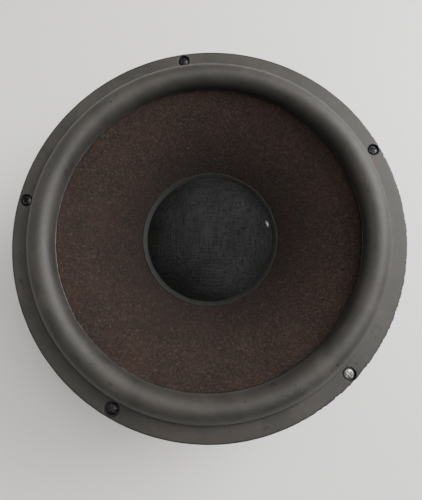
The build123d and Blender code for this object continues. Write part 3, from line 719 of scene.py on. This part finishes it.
cap_rim = [cone_point(cap_radius_mm, 0.3), cone_point(cap_radius_mm - cap_wall_mm, 0.3)]
cap_inside = dome(cap_radius_mm - cap_wall_mm, cap_top_mm - cap_wall_mm, 40)[::-1]
cap = lathe("cloth_dust_cap", dome(cap_radius_mm, cap_top_mm, 100) + cap_rim + cap_inside, 360, cap_waver,
            closed=False)

# Varnished cotton is near black with a faint grey bloom. Threads differ in thickness, so long streaks
# run both ways across it. The real thread is finer, and is drawn this coarse so that it shows.
cap_cloth, tree, place = new_material("varnished_cotton_cloth")
cap_thread_mm = 0.54
cap_weave_degrees = -7.0
weave = plain_weave(tree, place, cap_thread_mm, cap_weave_degrees)
streak_scales = [(0.055, 1.0, 1.0), (1.0, 0.055, 1.0)]
streaks = weave
for stretch in streak_scales:
    turned = add(tree, "ShaderNodeMapping", {
        "Vector": place, "Rotation": (0, 0, math.radians(cap_weave_degrees)), "Scale": stretch})
    threads = add(tree, "ShaderNodeTexNoise", {"Vector": turned, "Scale": per_mm(1.1), "Detail": 3.0})
    lively = add(tree, "ShaderNodeMapRange", {
        "Value": threads, "From Min": 0.32, "From Max": 0.68, "To Min": -0.5, "To Max": 0.55})
    streaks = add(tree, "ShaderNodeMath", {0: streaks, 1: lively}, operation="ADD")
bloom = add(tree, "ShaderNodeTexNoise", {"Vector": place, "Scale": per_mm(26), "Detail": 4.0})
crown = add(tree, "ShaderNodeValToRGB", {"Fac": bloom}, stops=[(0.35, "#181919"), (0.65, "#272828")])
tint = add(tree, "ShaderNodeMix", {"Factor": streaks, "A": linear("#020203"), "B": crown}, data_type="RGBA")
relief = add(tree, "ShaderNodeBump", {"Height": streaks, "Distance": 0.2 * MM})
shader = add(tree, "ShaderNodeBsdfPrincipled", {
    "Base Color": tint, "Roughness": 0.58, "Specular IOR Level": 0.22, "Normal": relief})
add(tree, "ShaderNodeOutputMaterial", {"Surface": shader})
paint(cap, cap_cloth)
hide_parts("dust_cap")
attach(cap, "cone_assembly")

glue_inner_mm = cap_radius_mm - 1.2
glue_outer_mm = cap_radius_mm + 3.4
glue_height_mm = 0.5
glue_samples = 14


def brushed_edge(r, z, angle, index):
    """The brushed outer edge of the glue wanders by up to 0.7 mm, and follows the cone as it does."""
    share = max(0.0, (r - cap_radius_mm - 1.0) / (glue_outer_mm - cap_radius_mm - 1.0))
    wander = share * (0.55 * uneven(angle, 5, 2.0) + 0.35 * uneven(angle, 23, 5.0))
    return r + wander, z + cone_point(r + wander)[1] - cone_point(r)[1]


glue_step_mm = (glue_outer_mm - glue_inner_mm) / glue_samples
glue_radii = [glue_inner_mm + glue_step_mm * i for i in range(glue_samples + 1)]
glue_top = []
for i, r in enumerate(glue_radii):
    rounded = math.sqrt(max(0.0, 1 - (i / glue_samples) ** 4))
    glue_top.append(cone_point(r, glue_height_mm * rounded + 0.02))
glue_under = [cone_point(r, -0.1) for r in reversed(glue_radii)]
cap_glue = lathe("dust_cap_glue", glue_top + glue_under, 480, brushed_edge)
grey_glue, tree, place = new_material("grey_rubber_glue")
smear = add(tree, "ShaderNodeTexNoise", {
    "Vector": place, "Scale": per_mm(4), "Detail": 5.0, "Distortion": 0.5})
tint = add(tree, "ShaderNodeValToRGB", {"Fac": smear}, stops=[(0.3, "#0F0F0E"), (0.7, "#1B1A19")])
relief = add(tree, "ShaderNodeBump", {"Height": smear, "Distance": 0.25 * MM})
shader = add(tree, "ShaderNodeBsdfPrincipled", {
    "Base Color": tint, "Roughness": 0.65, "Specular IOR Level": 0.3, "Normal": relief})
add(tree, "ShaderNodeOutputMaterial", {"Surface": shader})
paint(cap_glue, grey_glue)
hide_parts("dust_cap_glue_ring")
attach(cap_glue, "cone_assembly")

# The drop set clear and glossy over the dark cloth, so it looks dark grey with one bright highlight.
clear_glue, tree, place = new_material("clear_glue_drop")
cloud = add(tree, "ShaderNodeTexNoise", {"Vector": place, "Scale": per_mm(1.5), "Detail": 2.0})
tint = add(tree, "ShaderNodeValToRGB", {"Fac": cloud}, stops=[(0.3, "#232523"), (0.7, "#3D403E")])
shader = add(tree, "ShaderNodeBsdfPrincipled", {"Base Color": tint, "Roughness": 0.22, "Coat Weight": 0.5})
add(tree, "ShaderNodeOutputMaterial", {"Surface": shader})
drop_degrees = 13.0
drop_angle = math.radians(drop_degrees)
drop_r = 42.6
drop_z = cap_top_mm - cap_sphere_mm + math.sqrt(cap_sphere_mm ** 2 - drop_r ** 2) + 0.1
drop_mm = (drop_r * math.cos(drop_angle), drop_r * math.sin(drop_angle), drop_z)
drop = paint(blob("glue_drop", drop_mm, (1.4, 3.2, 1.1), drop_degrees, 21.0), clear_glue)
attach(drop, "cone_assembly")


# ---------------------------------------------------------------- surround
# Moulded foam rubber in one piece: a flat flange over the basket's rim, a half roll and a lip under the
# cone's edge. The rim was trimmed by hand and is ragged on the right; holes are punched over the screws.
rim_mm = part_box("surround")[1].x / MM
flange_thick_mm = 2.4
flange_width_mm = 12.2
roll_width_mm = 16.4
steel_mm = front_mm - flange_thick_mm
roll_foot_mm = rim_mm - flange_width_mm
roll_inner_mm = roll_foot_mm - roll_width_mm
roll_middle_mm = (roll_foot_mm + roll_inner_mm) / 2
roll_rise_mm = 11.5
roll_radius_mm = ((roll_foot_mm - roll_middle_mm) ** 2 + roll_rise_mm ** 2) / (2 * roll_rise_mm)
roll_centre_mm = (roll_middle_mm, front_mm + roll_rise_mm - roll_radius_mm)
foam_mm = 1.6
foot_radius_mm = 1.6
foot_drop = roll_centre_mm[1] - front_mm - foot_radius_mm
foot_reach = math.sqrt((roll_radius_mm + foot_radius_mm) ** 2 - foot_drop ** 2)
foot_mm = roll_middle_mm + foot_reach
foot_angle = math.degrees(math.atan2(foot_drop, foot_reach))

rim_edge = [(rim_mm - 0.25, steel_mm + 0.02), (rim_mm, steel_mm + 0.25), (rim_mm, front_mm - 0.45),
            (rim_mm - 0.15, front_mm - 0.12), (rim_mm - 0.45, front_mm)]
flat_start_mm = rim_mm - 0.9
flat_samples = 14
flat_step_mm = (flat_start_mm - foot_mm) / flat_samples
flat_top = [(flat_start_mm - flat_step_mm * i, front_mm) for i in range(flat_samples + 1)]
foot_arc = arc((foot_mm, front_mm + foot_radius_mm), foot_radius_mm, 270, 180 - foot_angle, 8)[1:]
roll_over = arc(roll_centre_mm, roll_radius_mm, -foot_angle, 199, 60)[1:]
lip_top = [cone_point(roll_inner_mm - inwards, -paper_mm - 0.02) for inwards in (0, 1, 3, 5.6)]
lip_under = [cone_point(roll_inner_mm - inwards, -paper_mm - foam_mm) for inwards in (5.9, 3, -0.6)]
roll_under = arc(roll_centre_mm, roll_radius_mm - foam_mm, 196, -12, 26)
flat_under = [(roll_foot_mm - foam_mm + 0.3, steel_mm + 0.5), (roll_foot_mm, steel_mm + 0.02),
              (rim_mm - 6, steel_mm + 0.02)]


def hacked(angle):
    """How roughly the rim was cut at this angle: 1 on the right and lower right, and 0 on the left."""
    degrees = (math.degrees(angle) + 180) % 360 - 180
    return max(0.0, min(1.0, (degrees + 75) / 20, (42 - degrees) / 16))


def surround_waver(r, z, angle, index):
    """The hand-cut rim, the slow waves of the moulding and the sag of old foam."""
    rough = hacked(angle)
    near_rim = max(0.0, 1 - (rim_mm - r) / 4)
    nibble = 0.25 + 0.9 * abs(uneven(angle, 55, 1.0)) + 0.7 * abs(uneven(angle, 140, 6.0))
    clean = 0.12 * abs(uneven(angle, 14, 2.0))
    r = r - near_rim * (rough * nibble + (1 - rough) * clean)
    if near_rim > 0.7 and z > steel_mm + 1.0:
        z = z - rough * 0.35 * abs(uneven(angle, 90, 8.0))
    if z > front_mm + 2:
        dent = noise.noise(Vector((math.cos(angle) * r / 5, math.sin(angle) * r / 5, z / 5)))
        z = z + 0.14 * uneven(angle, 7, 4.0) + 0.05 * dent - 0.15
    elif r > foot_mm and z > front_mm - 0.2:
        z = z + 0.05 * uneven(angle, 11, 9.0) - 0.03
    return r, z


section = rim_edge + flat_top + foot_arc + roll_over + lip_top + lip_under + roll_under + flat_under
surround = lathe("foam_surround", section, 720, surround_waver)
screw_inset_mm = 5.3
screw_circle_mm = rim_mm - screw_inset_mm
first_screw_degrees = 26.5
screw_step_degrees = 72.0
hole_radii_mm = [3.8, 4.0, 4.1, 4.8, 4.1]


def cut_with(piece, work, crossing=False):
    """Cuts the shape held in a bmesh out of a piece. crossing is for a shape whose parts cross each other."""
    mesh = bpy.data.meshes.new("cutter")
    work.to_mesh(mesh)
    work.free()
    cutter = bpy.data.objects.new("cutter", mesh)
    bpy.context.scene.collection.objects.link(cutter)
    cut = piece.modifiers.new("cut", "BOOLEAN")
    cut.operation = "DIFFERENCE"
    cut.object = cutter
    cut.solver = "EXACT"
    cut.use_self = crossing
    made_plain(piece)
    bpy.data.objects.remove(cutter)


punches = bmesh.new()
for index, hole_mm in enumerate(hole_radii_mm):
    angle = math.radians(first_screw_degrees + index * screw_step_degrees)
    spot = Vector((screw_circle_mm * math.cos(angle), screw_circle_mm * math.sin(angle), steel_mm)) * MM
    bmesh.ops.create_cone(punches, cap_ends=True, segments=40, radius1=hole_mm * MM,
                          radius2=(hole_mm + 0.12) * MM, depth=12 * MM, matrix=Matrix.Translation(spot))
cut_with(surround, punches)

# The flange is painted darker near its cut rim, as painted shade along the edge; the mask says how near a
# point is to the rim.
rim_shade_width_mm = 1.5
rim_shade_nearness = []
for vertex in surround.data.vertices:
    x, y, z = vertex.co / MM
    local_rim = surround_waver(rim_mm, front_mm - 1, math.atan2(y, x), 0)[0]
    rim_shade_nearness.append(max(0.0, 1 - (local_rim - math.hypot(x, y)) / rim_shade_width_mm))
surround.data.attributes.new("cut_edge", "FLOAT", "POINT").data.foreach_set("value", rim_shade_nearness)

# Old foam rubber is grey-black with a chalky bloom, fine pores and pale scuffs. It shines softly where it
# has been handled. A little rust has run from the screw on the right. The cut rim is painted darker, as
# painted shade.
foam, tree, place = new_material("moulded_foam_rubber")
bloom = add(tree, "ShaderNodeTexNoise", {
    "Vector": place, "Scale": per_mm(30), "Detail": 5.0, "Distortion": 0.6})
tint = add(tree, "ShaderNodeValToRGB", {"Fac": bloom}, stops=[(0.34, "#292723"), (0.66, "#373430")])
scuff = add(tree, "ShaderNodeTexNoise", {
    "Vector": place, "Scale": per_mm(5), "Detail": 6.0, "Distortion": 1.0})
scuffed = add(tree, "ShaderNodeMapRange", {"Value": scuff, "From Min": 0.56, "From Max": 0.8, "To Max": 0.55})
tint = add(tree, "ShaderNodeMix", {"Factor": scuffed, "A": tint, "B": linear("#45433E")}, data_type="RGBA")
speck = add(tree, "ShaderNodeTexNoise", {"Vector": place, "Scale": per_mm(3.4), "Detail": 1.0})
specked = add(tree, "ShaderNodeMapRange", {"Value": speck, "From Min": 0.7, "From Max": 0.75, "To Max": 0.7})
tint = add(tree, "ShaderNodeMix", {"Factor": specked, "A": tint, "B": linear("#141210")}, data_type="RGBA")
rust_angle = math.radians(first_screw_degrees - 3.5)
rust_r = screw_circle_mm - 3
rust_spot = Vector((rust_r * math.cos(rust_angle), rust_r * math.sin(rust_angle), front_mm)) * MM
rust_reach = add(tree, "ShaderNodeVectorMath", {0: place, 1: rust_spot}, operation="DISTANCE")
rust_near = add(tree, "ShaderNodeMapRange", {
    "Value": rust_reach, "From Max": 5.5 * MM, "To Min": 0.75, "To Max": 0.0})
rusty = add(tree, "ShaderNodeMath", {0: rust_near, 1: scuff}, operation="MULTIPLY")
tint = add(tree, "ShaderNodeMix", {"Factor": rusty, "A": tint, "B": linear("#54371C")}, data_type="RGBA")
# Painted shade: the flange darkens towards its cut rim.
rim_shade_factor = add(tree, "ShaderNodeAttribute", attribute_name="cut_edge").outputs["Fac"]
tint = add(tree, "ShaderNodeMix", {"Factor": rim_shade_factor, "A": tint, "B": linear("#0B0A09")}, data_type="RGBA")
pores = add(tree, "ShaderNodeTexNoise", {"Vector": place, "Scale": per_mm(0.55), "Detail": 4.0})
height = add(tree, "ShaderNodeMath", {0: scuff, 1: 0.5, 2: pores}, operation="MULTIPLY_ADD")
relief = add(tree, "ShaderNodeBump", {"Height": height, "Distance": 0.06 * MM})
gloss = add(tree, "ShaderNodeMapRange", {"Value": bloom, "To Min": 0.48, "To Max": 0.64})
shader = add(tree, "ShaderNodeBsdfPrincipled", {
    "Base Color": tint, "Roughness": gloss, "Sheen Weight": 0.06, "Sheen Roughness": 0.5, "Normal": relief})
add(tree, "ShaderNodeOutputMaterial", {"Surface": shader})
paint(surround, foam)
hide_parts("surround")
follow_outwards(surround)

edge_glue = glue_bead("surround_glue_line", roll_inner_mm - 0.15, edge_mm[1] + 0.05, 0.55, 17.0, 0.7)
paint(edge_glue, black_glue)
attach(edge_glue, "cone_assembly")


# ---------------------------------------------------------------- mounting screws
# Five pan-head wood screws with cross recesses and cut threads. Four are blackened steel, and the one at
# the lower right is a bright zinc-plated replacement.
head_radius_mm = 3.5
head_height_mm = 2.0
head_rim_mm = 0.7
thread_radius_mm = 2.0
thread_depth_mm = 0.35
thread_pitch_mm = 1.8
screw_length_mm = 16.0
screw_point_mm = 3.5
shank_samples = 96
core_mm = thread_radius_mm - thread_depth_mm
neck_radius_mm = 2.3
shank_top_mm = 1.3
thread_top_mm = 1.8
screw_turn_degrees = 30.0
recess_mm = Vector((4.0, 0.85, 2.4))

head = [(0, head_height_mm)]
for degrees in range(12, 90, 12):
    a = math.radians(degrees)
    dome_z = head_rim_mm + (head_height_mm - head_rim_mm) * math.cos(a)
    head.append(((head_radius_mm - 0.05) * math.sin(a), dome_z))
head += [(head_radius_mm, head_rim_mm - 0.1), (head_radius_mm, 0.15), (head_radius_mm - 0.15, 0),
         (neck_radius_mm, 0)]
shank = [(neck_radius_mm, 0.1 - shank_top_mm)]
for i in range(shank_samples + 1):
    z = -shank_top_mm - (screw_length_mm - shank_top_mm) * i / shank_samples
    taper = (screw_length_mm + z) / screw_point_mm * core_mm
    shank.append((max(0.05, min(core_mm, taper)), z))


def cut_thread(r, z, angle, index):
    """Raises a sharp ridge that winds down the shank."""
    turns = (z / thread_pitch_mm + angle / (2 * math.pi)) % 1.0
    ridge = max(0.0, 1 - abs(turns - 0.5) / 0.18) if z < -thread_top_mm else 0.0
    return r + thread_depth_mm * ridge * min(1.0, r), z


pattern_screw = lathe("pattern_screw", head + shank + [(0, -screw_length_mm)], 36, cut_thread, closed=False)
recess = bmesh.new()
for degrees in (0, 90):
    bar = bmesh.ops.create_cube(recess, size=1.0)["verts"]
    bmesh.ops.scale(recess, vec=recess_mm * MM, verts=bar)
    bmesh.ops.translate(recess, vec=Vector((0, 0, head_height_mm)) * MM, verts=bar)
    bmesh.ops.rotate(recess, cent=(0, 0, 0), matrix=Matrix.Rotation(math.radians(degrees), 3, "Z"), verts=bar)
cut_with(pattern_screw, recess, crossing=True)


def screw_ring_tree():
    """Stands copies of a screw round a circle; each is turned further than the last, as a hand leaves it."""
    tree = bpy.data.node_groups.new("screw_ring", "GeometryNodeTree")
    wanted = {"Copies": "Int", "Radius": "Float", "Height": "Float", "First angle": "Float",
              "Step": "Float", "Turn each": "Float", "Screw": "Object", "Finish": "Material"}
    for label, kind in wanted.items():
        tree.interface.new_socket(label, in_out="INPUT", socket_type="NodeSocket" + kind)
    tree.interface.new_socket("Geometry", in_out="OUTPUT", socket_type="NodeSocketGeometry")
    given = add(tree, "NodeGroupInput").outputs
    number = add(tree, "GeometryNodeInputIndex")
    angle = add(tree, "ShaderNodeMath", {0: number, 1: given["Step"], 2: given["First angle"]},
                operation="MULTIPLY_ADD")
    cosine = add(tree, "ShaderNodeMath", {0: angle}, operation="COSINE")
    sine = add(tree, "ShaderNodeMath", {0: angle}, operation="SINE")
    x = add(tree, "ShaderNodeMath", {0: cosine, 1: given["Radius"]}, operation="MULTIPLY")
    y = add(tree, "ShaderNodeMath", {0: sine, 1: given["Radius"]}, operation="MULTIPLY")
    spot = add(tree, "ShaderNodeCombineXYZ", {"X": x, "Y": y, "Z": given["Height"]})
    spin = add(tree, "ShaderNodeMath", {0: number, 1: given["Turn each"], 2: angle}, operation="MULTIPLY_ADD")
    facing = add(tree, "ShaderNodeCombineXYZ", {"Z": spin})
    points = add(tree, "GeometryNodePoints", {"Count": given["Copies"], "Position": spot})
    shape = add(tree, "GeometryNodeObjectInfo", {"Object": given["Screw"]}).outputs["Geometry"]
    copies = add(tree, "GeometryNodeInstanceOnPoints", {
        "Points": points, "Instance": shape, "Rotation": facing})
    real = add(tree, "GeometryNodeRealizeInstances", {"Geometry": copies})
    painted = add(tree, "GeometryNodeSetMaterial", {"Geometry": real, "Material": given["Finish"]})
    add(tree, "NodeGroupOutput", {"Geometry": painted})
    return tree


# Blackened steel is nearly black with brighter metal on the worn crown; zinc is a pale, slightly milky grey.
screw_finishes = {}
for name, dark, light, roughness in (("blackened_screw_steel", "#1C1C1D", "#505052", 0.5),
                                     ("bright_zinc_plate", "#6E6F6C", "#A4A5A2", 0.34)):
    finish, tree, place = new_material(name)
    wear = add(tree, "ShaderNodeTexNoise", {"Vector": place, "Scale": per_mm(2.6), "Detail": 5.0})
    tint = add(tree, "ShaderNodeValToRGB", {"Fac": wear}, stops=[(0.4, dark), (0.66, light)])
    shader = add(tree, "ShaderNodeBsdfPrincipled", {
        "Base Color": tint, "Metallic": 0.8, "Roughness": roughness})
    add(tree, "ShaderNodeOutputMaterial", {"Surface": shader})
    screw_finishes[name] = finish

ring_tree = screw_ring_tree()
screw_groups = [
    ("black_wood_screws", 4, 0, "blackened_screw_steel", "mounting_screws_black", "screw_black"),
    ("bright_wood_screw", 1, 4, "bright_zinc_plate", "mounting_screw_bright", "screw_zinc"),
]
for name, copies, first, finish, node, slot in screw_groups:
    holder = bpy.data.objects.new(name, bpy.data.meshes.new(name))
    bpy.context.scene.collection.objects.link(holder)
    ring = holder.modifiers.new("ring", "NODES")
    ring.node_group = ring_tree
    values = {
        "Copies": copies, "Radius": screw_circle_mm * MM, "Height": steel_mm * MM,
        "First angle": math.radians(first_screw_degrees + first * screw_step_degrees),
        "Step": math.radians(screw_step_degrees), "Turn each": math.radians(screw_turn_degrees),
        "Screw": pattern_screw, "Finish": screw_finishes[finish]}
    for label, value in values.items():
        ring[ring_tree.interface.items_tree[label].identifier] = value
    screws = made_plain(holder)
    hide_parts(node)
    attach(screws, "frame")
bpy.data.objects.remove(pattern_screw)
